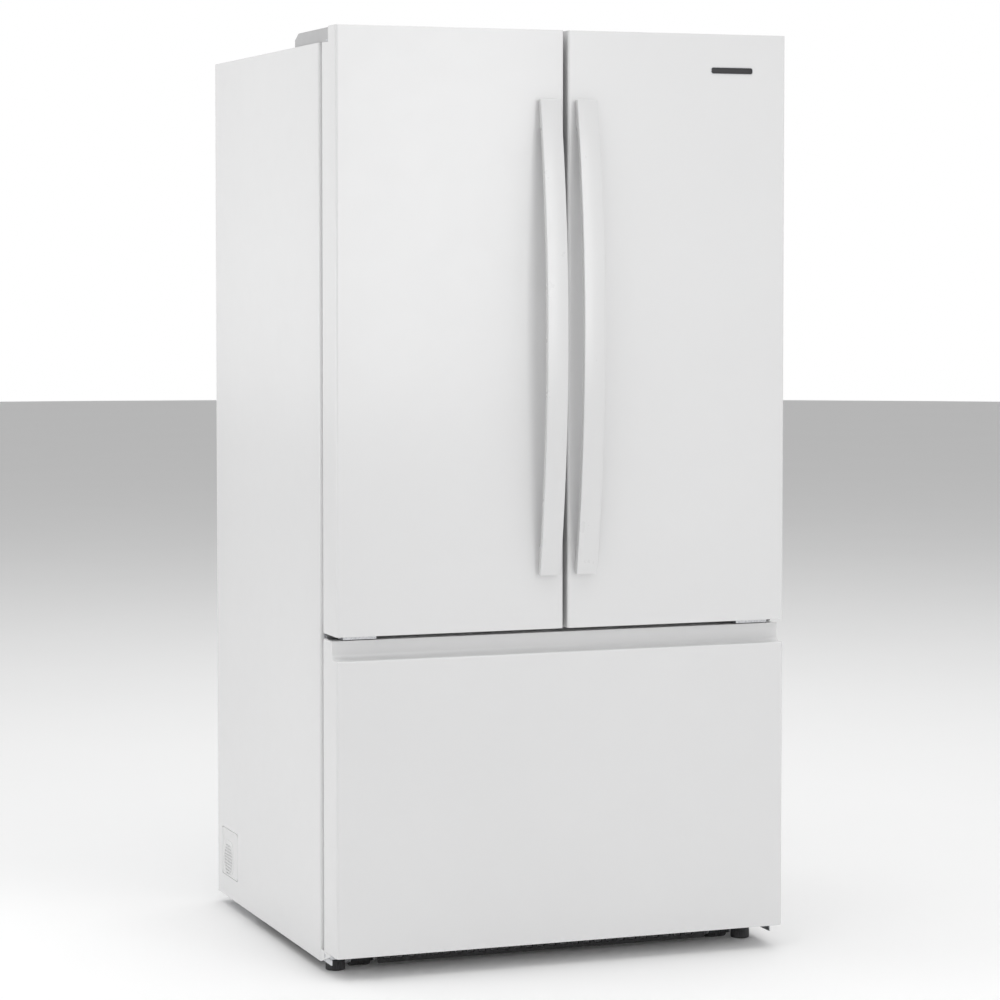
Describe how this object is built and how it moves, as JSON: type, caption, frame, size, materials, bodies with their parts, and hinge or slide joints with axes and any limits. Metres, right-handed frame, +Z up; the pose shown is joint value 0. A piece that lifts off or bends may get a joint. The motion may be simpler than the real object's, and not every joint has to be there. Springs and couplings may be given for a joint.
{
  "type": "french door refrigerator",
  "caption": "White French-door refrigerator: two upper doors with bowed bar handles over one wide bottom freezer drawer with a finger recess.",
  "frame": {"origin": "on the floor, in the middle of the whole object's outer box, handles included", "axes": "+Z up, the doors and the drawer face -Y, +X is to the right of a person who faces the doors"},
  "size_m": [0.908, 0.891, 1.773],
  "materials": {
    "white_paint": "satin white enamel",
    "handle_paint": "satin white enamel",
    "cap_plastic": "moulded white",
    "hinge_cover_plastic": "fine moulded grain",
    "zinc_steel": "zinc plated",
    "galvanised_sheet": "galvanised",
    "liner_plastic": "vacuum formed, smooth",
    "white_plastic": "moulded, smooth",
    "track_paint": "powder coat",
    "gasket_vinyl": "soft vinyl",
    "mullion_plastic": "moulded, smooth",
    "foam": "rigid polyurethane foam",
    "shelf_glass": "tempered, polished",
    "clear_plastic": "clear moulded",
    "bin_plastic": "frosted moulded",
    "black_enamel": "black enamel",
    "black_plastic": "moulded black",
    "motor_steel": "bare steel",
    "fin_aluminium": "bare aluminium"
  },
  "bodies": {
    "cabinet": {"outer_case": "white_paint", "rear_panel": "galvanised_sheet", "cabinet_insulation": "foam", "fridge_liner": "liner_plastic", "freezer_liner": "liner_plastic", "base_frame": "zinc_steel", "machine_cover": "galvanised_sheet", "compressor": "black_enamel", "condenser_coil": "black_enamel", "fan_motors": "motor_steel", "drip_pan": "black_plastic", "side_vent": "cap_plastic", "cord_gland": "black_plastic", "evaporator": "fin_aluminium", "evaporator_cover": "white_plastic", "air_duct": "white_plastic", "shelf_tracks": "track_paint", "shelf_frames": "white_plastic", "shelf_glass": "shelf_glass", "ceiling_console": "white_plastic", "top_hinges": "zinc_steel", "hinge_covers": "hinge_cover_plastic", "center_hinges": "zinc_steel", "slide_rails": "zinc_steel", "toe_grille": "black_plastic", "leg_covers": "white_paint", "screws": "zinc_steel"},
    "left_door": {"left_door_skin": "white_paint", "left_door_foam": "foam", "left_door_liner": "liner_plastic", "left_door_gasket": "gasket_vinyl", "left_door_caps": "cap_plastic", "left_handle": "handle_paint", "left_door_bins": "clear_plastic"},
    "right_door": {"right_door_skin": "white_paint", "right_door_foam": "foam", "right_door_liner": "liner_plastic", "right_door_gasket": "gasket_vinyl", "right_door_caps": "cap_plastic", "right_handle": "handle_paint", "right_door_bins": "clear_plastic"},
    "folding_bar": {"mullion": "mullion_plastic"},
    "freezer_drawer": {"drawer_skin": "white_paint", "drawer_foam": "foam", "drawer_liner": "liner_plastic", "drawer_gasket": "gasket_vinyl", "drawer_slides": "zinc_steel", "freezer_basket": "bin_plastic"},
    "upper_freezer_bin": {"upper_freezer_bin": "bin_plastic"},
    "left_crisper": {"left_crisper": "clear_plastic"},
    "right_crisper": {"right_crisper": "clear_plastic"},
    "pantry_drawer": {"pantry_drawer": "clear_plastic"},
    "condenser_fan": {"condenser_fan": "black_plastic"},
    "evaporator_fan": {"evaporator_fan": "black_plastic"},
    "front_roller_left": {"front_roller_left": "black_plastic"},
    "front_roller_right": {"front_roller_right": "black_plastic"},
    "rear_rollers": {"rear_rollers": "black_plastic"},
    "foot_left": {"foot_left": "black_plastic"},
    "foot_right": {"foot_right": "black_plastic"}
  },
  "joints": [
    {"name": "left_door_hinge", "type": "hinge", "parent": "cabinet", "child": "left_door", "pos_m": [-0.442, -0.3285, 0.645], "axis": [0, 0, -1], "range_deg": [0, 120]},
    {"name": "right_door_hinge", "type": "hinge", "parent": "cabinet", "child": "right_door", "pos_m": [0.442, -0.3285, 0.645], "axis": [0, 0, 1], "range_deg": [0, 120]},
    {"name": "folding_bar_hinge", "type": "hinge", "parent": "left_door", "child": "folding_bar", "pos_m": [-0.04, -0.2815, 0.688], "axis": [0, 0, -1], "range_deg": [0, 90]},
    {"name": "freezer_drawer_slide", "type": "slide", "parent": "cabinet", "child": "freezer_drawer", "axis": [0, -1, 0], "range_m": [0, 0.45]},
    {"name": "upper_freezer_bin_slide", "type": "slide", "parent": "cabinet", "child": "upper_freezer_bin", "axis": [0, -1, 0], "range_m": [0, 0.09]},
    {"name": "left_crisper_slide", "type": "slide", "parent": "cabinet", "child": "left_crisper", "axis": [0, -1, 0], "range_m": [0, 0.09]},
    {"name": "right_crisper_slide", "type": "slide", "parent": "cabinet", "child": "right_crisper", "axis": [0, -1, 0], "range_m": [0, 0.09]},
    {"name": "pantry_drawer_slide", "type": "slide", "parent": "cabinet", "child": "pantry_drawer", "axis": [0, -1, 0], "range_m": [0, 0.09]},
    {"name": "foot_left_screw", "type": "slide", "parent": "cabinet", "child": "foot_left", "axis": [0, 0, -1], "range_m": [0, 0.02]},
    {"name": "foot_right_screw", "type": "slide", "parent": "cabinet", "child": "foot_right", "axis": [0, 0, -1], "range_m": [0, 0.02]},
    {"name": "condenser_fan_spin", "type": "hinge", "parent": "cabinet", "child": "condenser_fan", "pos_m": [-0.06, 0.33, 0.14], "axis": [1, 0, 0], "continuous": true},
    {"name": "evaporator_fan_spin", "type": "hinge", "parent": "cabinet", "child": "evaporator_fan", "pos_m": [0, 0.335, 0.52], "axis": [0, 1, 0], "continuous": true},
    {"name": "front_roller_left_spin", "type": "hinge", "parent": "cabinet", "child": "front_roller_left", "pos_m": [-0.37, -0.2535, 0.0175], "axis": [1, 0, 0], "continuous": true},
    {"name": "front_roller_right_spin", "type": "hinge", "parent": "cabinet", "child": "front_roller_right", "pos_m": [0.37, -0.2535, 0.0175], "axis": [1, 0, 0], "continuous": true},
    {"name": "rear_rollers_spin", "type": "hinge", "parent": "cabinet", "child": "rear_rollers", "pos_m": [0, 0.3965, 0.016], "axis": [1, 0, 0], "continuous": true}
  ]
}
